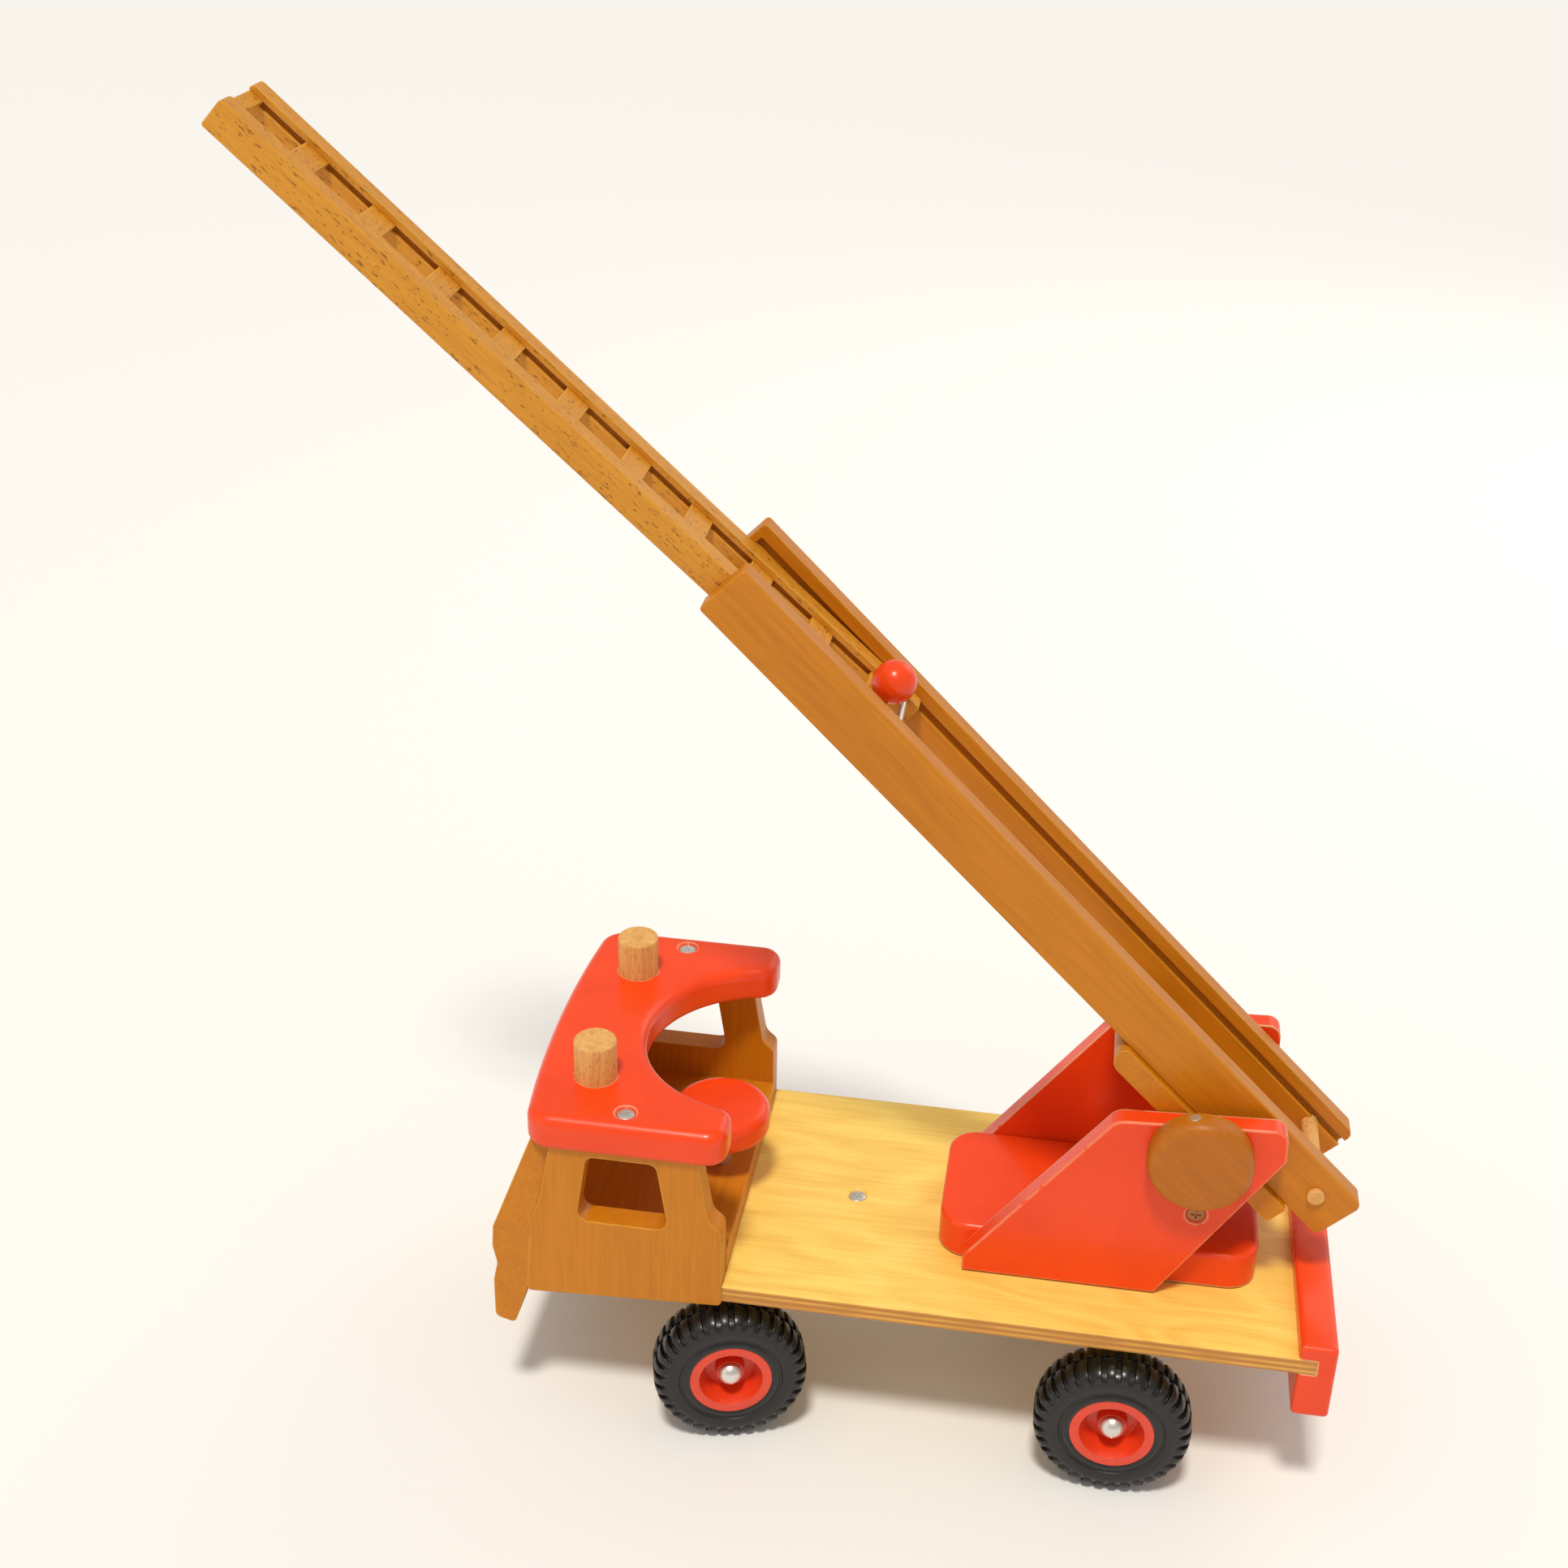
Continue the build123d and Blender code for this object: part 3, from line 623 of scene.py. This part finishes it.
@dataclass
class Wheels:
    """The four treaded rubber tyres around their moulded hubs."""

    radius: float = 30.0
    width: float = 19.4
    bead: float = 16.0
    lugs: int = 34
    lug_thickness: float = 3.3
    places: tuple = (("front", "left"), ("front", "right"), ("rear", "left"), ("rear", "right"))
    material: bpy.types.Material = field(default_factory=RUBBER.material)
    hub_material: bpy.types.Material = field(default_factory=HUB_PLASTIC.material)

    def carcass(self) -> bpy.types.Object:
        """Make the smooth casing: a bead, a sidewall ring, a shoulder and a crown."""
        half = self.width / 2
        crown = self.radius - 1.7
        bead = [(self.bead, half - 0.5), (self.bead + 0.6, half - 0.1), (self.bead + 1.6, half)]
        ring = [(18.6, half - 0.4), (19.2, half - 0.9), (19.9, half - 0.9), (20.4, half - 0.35)]
        shoulder = [(22.5, half - 0.1), (24.6, half - 0.25), (26.4, half - 1.2), (27.6, half - 2.9)]
        wall = bead + ring + shoulder + [(crown, half - 5.2)]
        profile = wall + [(crown + 0.2, 0.0)] + [(r, -y) for r, y in reversed(wall)]
        return mesh_object("tyre_casing", turned(profile, 128))

    def lug(self, side: int) -> bpy.types.Object:
        """Make one tread lug that wraps from the crown down over a shoulder.

        Args:
            side: 1 for the shoulder at +Y, or -1 for the other.

        Returns:
            The lug, at the angle 0.
        """
        half = self.width / 2
        outline = [(24.7, half - 0.4), (25.4, half - 0.05), (27.6, half - 0.65), (29.2, half - 2.3),
                   (self.radius - 0.12, half - 4.6), (self.radius, half - 6.2), (self.radius, 0.5),
                   (27.6, 0.5), (27.0, half - 5.4), (25.6, half - 2.0)]
        shape = bmesh.new()
        sides = []
        for offset in (-1, 1):
            ring = []
            for r, y in outline:
                thick = self.lug_thickness * (0.5 if r > 28.5 else 0.42)
                ring.append(shape.verts.new((r * MM, side * y * MM, offset * thick * MM)))
            sides.append(ring)
            shape.faces.new(ring)
        count = len(outline)
        for index in range(count):
            after = (index + 1) % count
            shape.faces.new((sides[0][index], sides[0][after], sides[1][after], sides[1][index]))
        obj = mesh_object("lug", shape)
        bevel = obj.modifiers.new("ease", "BEVEL")
        bevel.width = 0.35 * MM
        bevel.segments = 2
        plain_mesh(obj)
        return obj

    def tyre(self) -> bpy.types.Object:
        """Make one whole tyre about the Y axis, its outer face at +Y."""
        tree = ring_tree("tread_ring", self.material)
        tyre = self.carcass()
        pitch = math.tau / self.lugs
        for side, start in ((1, 0.0), (-1, pitch / 2)):
            row = self.lug(side)
            repeat_ring(row, tree, self.lugs, start)
            join(tyre, row)
        return tyre

    def build(self) -> None:
        """Place a tyre on each wheel and dress the hubs."""
        pattern = self.tyre()
        joints = {joint["name"]: joint for joint in frame["joints"]}
        for end, side in self.places:
            low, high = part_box(f"{end}_tyre_{side}")
            axis = Vector(joints[f"{end}_wheel_{side}_roll"]["axis"])
            outward = axis if side == "right" else -axis
            turn = math.atan2(-outward.x, outward.y)
            place = Matrix.Translation((low + high) / 2) @ Matrix.Rotation(turn, 4, "Z")
            obj = bpy.data.objects.new(f"treaded_tyre_{end}_{side}", pattern.data.copy())
            bpy.context.collection.objects.link(obj)
            obj.data.transform(place)
            obj.data.materials.clear()
            obj.data.materials.append(self.material)
            smooth(obj, 30)
            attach(obj, f"{end}_wheel_{side}")
            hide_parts(f"{end}_tyre_{side}")
            dress(f"{end}_hub_{side}", self.hub_material)
            LOG.info("tyre %s %s", end, side)
        bpy.data.objects.remove(pattern)


def dress(node: str, material: bpy.types.Material) -> None:
    """Give a CAD piece a material.

    Args:
        node: the piece's name in the frame.
        material: what it is made of.
    """
    obj = frame["nodes"][node]
    if not obj.material_slots:
        obj.data.materials.append(material)
    for slot in obj.material_slots:
        slot.link = "OBJECT"
        slot.material = material
    LOG.info("dressed %s", node)


@dataclass
class Screws:
    """The countersunk cross-head screws of the cab, the deck and the turntable."""

    head: float = 3.4
    countersink: float = 4.3
    sunk: float = 0.75
    rise: float = 0.45
    recess: float = 1.9
    blade: float = 0.85

    def pattern(self) -> bpy.types.Object:
        """Make one screw that points along +Y, with a cross recess in its head."""
        profile = [(0.0, self.rise), (self.head * 0.45, self.rise * 0.9), (self.head * 0.8, self.rise * 0.45),
                   (self.head, 0.0), (self.head * 0.75, -1.0), (1.7, -2.6), (1.7, -5.0), (0.0, -5.0)]
        profile = [(r, y - self.sunk) for r, y in profile]
        obj = mesh_object("screw_pattern", turned(profile, 48))
        shape = bmesh.new()
        shape.from_mesh(obj.data)
        bmesh.ops.remove_doubles(shape, verts=shape.verts, dist=1e-6)
        shape.to_mesh(obj.data)
        shape.free()
        for turn in (0.0, math.pi / 2):
            cutter_shape = bmesh.new()
            size = Matrix.Diagonal((self.recess * 2 * MM, 1.8 * MM, self.blade * MM, 1.0))
            bmesh.ops.create_cube(cutter_shape, matrix=Matrix.Rotation(turn, 4, "Y") @ size)
            cutter = mesh_object("recess", cutter_shape)
            cut = obj.modifiers.new("cut", "BOOLEAN")
            cut.object = cutter
            cut.operation = "DIFFERENCE"
            cut.solver = "EXACT"
            plain_mesh(obj)
            bpy.data.objects.remove(cutter)
        return obj

    def set_for(self, name: str, body: str, node: str, places: list[Matrix],
                finish: PlainFinish) -> None:
        """Place copies of the screw for one body.

        Args:
            name: the new piece's name.
            body: the body it rides on.
            node: the CAD node it stands for.
            places: where each head goes.
            finish: what the heads look like.
        """
        pattern = self.pattern()
        shape = bmesh.new()
        for place in places:
            copy = pattern.data.copy()
            copy.transform(place)
            shape.from_mesh(copy)
            bpy.data.meshes.remove(copy)
        bpy.data.objects.remove(pattern)
        obj = mesh_object(name, shape)
        obj.data.materials.append(finish.material())
        smooth(obj, 30)
        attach(obj, body)
        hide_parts(node)
        LOG.info("screws %s", name)

    def build(self) -> None:
        """Place the screws where the CAD screws are."""
        upright = Matrix.Rotation(math.radians(90), 4, "X")
        low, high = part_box("body_screws")
        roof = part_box("cab_roof")[1].z
        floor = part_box("cab_floor")[1].z
        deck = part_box("deck_board")[1].z
        column = (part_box("steering_column")[0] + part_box("steering_column")[1]) / 2
        inset = self.countersink * MM
        roof_x = column.x - 25.7 * MM
        spots = [(roof_x, high.y - inset, roof), (roof_x, low.y + inset, roof), (high.x - inset, 0, deck),
                 (low.x + inset, 0, floor)]
        places = [Matrix.Translation(spot) @ Matrix.Rotation(0.6 * index, 4, "Z") @ upright
                  for index, spot in enumerate(spots)]
        self.set_for("body_screw_heads", "chassis", "body_screws", places, STEEL)
        low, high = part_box("cheek_screws")
        centre = (low + high) / 2
        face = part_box("cheek_right")[1].y
        right = Matrix.Translation((centre.x, face, centre.z)) @ Matrix.Rotation(0.4, 4, "Y")
        left = Matrix.Translation((centre.x, -face, centre.z)) @ Matrix.Rotation(math.pi, 4, "X")
        self.set_for("cheek_screw_heads", "turntable", "cheek_screws", [right, left], OLD_STEEL)


@dataclass
class Woodwork:
    """Every wooden CAD piece, with its finish and the way its grain runs."""

    stained: dict[str, Grain] = field(default_factory=lambda: {
        "cab_side_left": Grain.HEIGHT, "cab_side_right": Grain.HEIGHT, "cab_front": Grain.WIDTH,
        "cab_floor": Grain.WIDTH, "pivot_bar": Grain.WIDTH, "outer_rail_left": Grain.LADDER,
        "outer_rail_right": Grain.LADDER})
    bare: dict[str, Grain] = field(default_factory=lambda: {
        "roof_peg_left": Grain.HEIGHT, "roof_peg_right": Grain.HEIGHT, "foot_dowel": Grain.WIDTH,
        "pull_ball_stem": Grain.HEIGHT, "cheek_spacer": Grain.WIDTH, "mouth_bar": Grain.WIDTH,
        "chassis_beam": Grain.LENGTH, "rear_axle_block": Grain.WIDTH, "steering_block": Grain.WIDTH})
    knobs: tuple = ("knob_left", "knob_right")
    painted: tuple = ("rear_bumper", "cab_roof", "steering_wheel", "turntable_base", "cheek_left",
                      "cheek_right", "pull_ball")

    def build(self) -> None:
        """Dress the wooden pieces."""
        for node, grain in self.stained.items():
            dress(node, STAINED.material(grain))
        for node in self.knobs:
            dress(node, KNOB_BEECH.material(Grain.LADDER))
        for node, grain in self.bare.items():
            dress(node, BARE_BEECH.material(grain))
        paint = PAINT.material()
        for node in self.painted:
            dress(node, paint)
        dress("deck_board", DECK.material(Grain.LENGTH))
        for node in frame["nodes"]:
            if node.startswith("fly_rail"):
                dress(node, LADDER_BEECH.material(Grain.FLY))
            elif node.startswith("fly_rung"):
                dress(node, LADDER_BEECH.material(Grain.WIDTH))


@dataclass
class Metalwork:
    """The steel and fibre CAD pieces."""

    steel: tuple = ("front_axle", "rear_axle", "front_axle_caps", "rear_axle_caps", "steering_column",
                    "turntable_bolt", "pivot_axle", "slide_pin", "knob_nails")
    fibre: tuple = ("steering_washer", "turntable_washer")

    def build(self) -> None:
        """Dress the metal and fibre pieces."""
        steel = STEEL.material()
        for node in self.steel:
            dress(node, steel)
        fibre = FIBRE.material()
        for node in self.fibre:
            dress(node, fibre)


# ---- stage ----

@dataclass
class Studio:
    """The pale floor, the soft lights and the camera."""

    azimuth: float = 8.45
    elevation: float = 27.53
    roll: float = 1.43
    lens: float = 49.84
    eye_from_deck: tuple = (-104.1, -702.1, 556.3)
    shift: tuple = (0.0015, -0.0026)

    def camera(self) -> None:
        """Place the camera, measured from the deck's rear end."""
        low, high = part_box("rear_bumper")
        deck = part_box("deck_board")[1].z
        eye = Vector((low.x, 0, deck)) + Vector(self.eye_from_deck) * MM
        azimuth, elevation, roll = (math.radians(v) for v in (self.azimuth, self.elevation, self.roll))
        back = Vector((math.sin(azimuth) * math.cos(elevation), -math.cos(azimuth) * math.cos(elevation),
                       math.sin(elevation)))
        right = Vector((math.cos(azimuth), math.sin(azimuth), 0))
        up = back.cross(right)
        side = math.cos(roll) * right + math.sin(roll) * up
        top = back.cross(side)
        data = bpy.data.cameras.new("camera")
        data.lens = self.lens
        data.sensor_width = 36.0
        data.shift_x, data.shift_y = self.shift
        data.clip_start = 0.01
        camera = bpy.data.objects.new("camera", data)
        turn = Matrix((side, top, back)).transposed().to_4x4()
        camera.matrix_world = Matrix.Translation(eye) @ turn
        bpy.context.collection.objects.link(camera)
        bpy.context.scene.camera = camera

    def floor(self) -> None:
        """Make the pale floor."""
        shape = bmesh.new()
        bmesh.ops.create_grid(shape, x_segments=1, y_segments=1, size=6.0)
        obj = mesh_object("floor", shape)
        obj.data.transform(Matrix.Translation((0, 0, -0.0002)))
        surface = Surface("floor")
        surface.shader.inputs["Base Color"].default_value = (0.86, 0.86, 0.86, 1)
        surface.shader.inputs["Roughness"].default_value = 0.9
        obj.data.materials.append(surface.material)

    def light(self, name: str, kind: str, place: tuple, power: float, tint: tuple) -> None:
        """Add a soft light that points at the toy's middle.

        Args:
            name: the light's name.
            kind: SUN or AREA.
            place: where it stands.
            power: its strength.
            tint: its colour.
        """
        data = bpy.data.lights.new(name, kind)
        data.energy = power
        data.color = tint
        if kind == "SUN":
            data.angle = math.radians(9)
        else:
            data.size = 1.0
        obj = bpy.data.objects.new(name, data)
        aim = Vector((0, 0, 0.15)) - Vector(place)
        obj.matrix_world = Matrix.Translation(place) @ aim.to_track_quat("-Z", "Y").to_matrix().to_4x4()
        bpy.context.collection.objects.link(obj)

    def build(self) -> None:
        """Set up the whole studio."""
        self.camera()
        self.floor()
        world = bpy.data.worlds.new("studio")
        world.use_nodes = True
        world.node_tree.nodes["Background"].inputs[0].default_value = (1.0, 0.98, 0.94, 1)
        world.node_tree.nodes["Background"].inputs[1].default_value = 0.50
        bpy.context.scene.world = world
        bpy.context.scene.view_settings.view_transform = "Standard"
        self.light("key", "SUN", (-0.03, -0.42, 1.15), 2.1, (1.0, 0.94, 0.84))
        self.light("fill", "AREA", (-1.2, -1.1, 0.7), 2.0, (1.0, 0.95, 0.86))
        self.light("back", "AREA", (0.9, 1.2, 1.0), 4.0, (1.0, 0.95, 0.86))


def main() -> None:
    """Build every piece in order."""
    for part in (Woodwork(), Metalwork(), Wheels(), Screws(), Studio()):
        LOG.info("building %s", type(part).__name__)
        part.build()


if __name__ == "__main__":
    main()
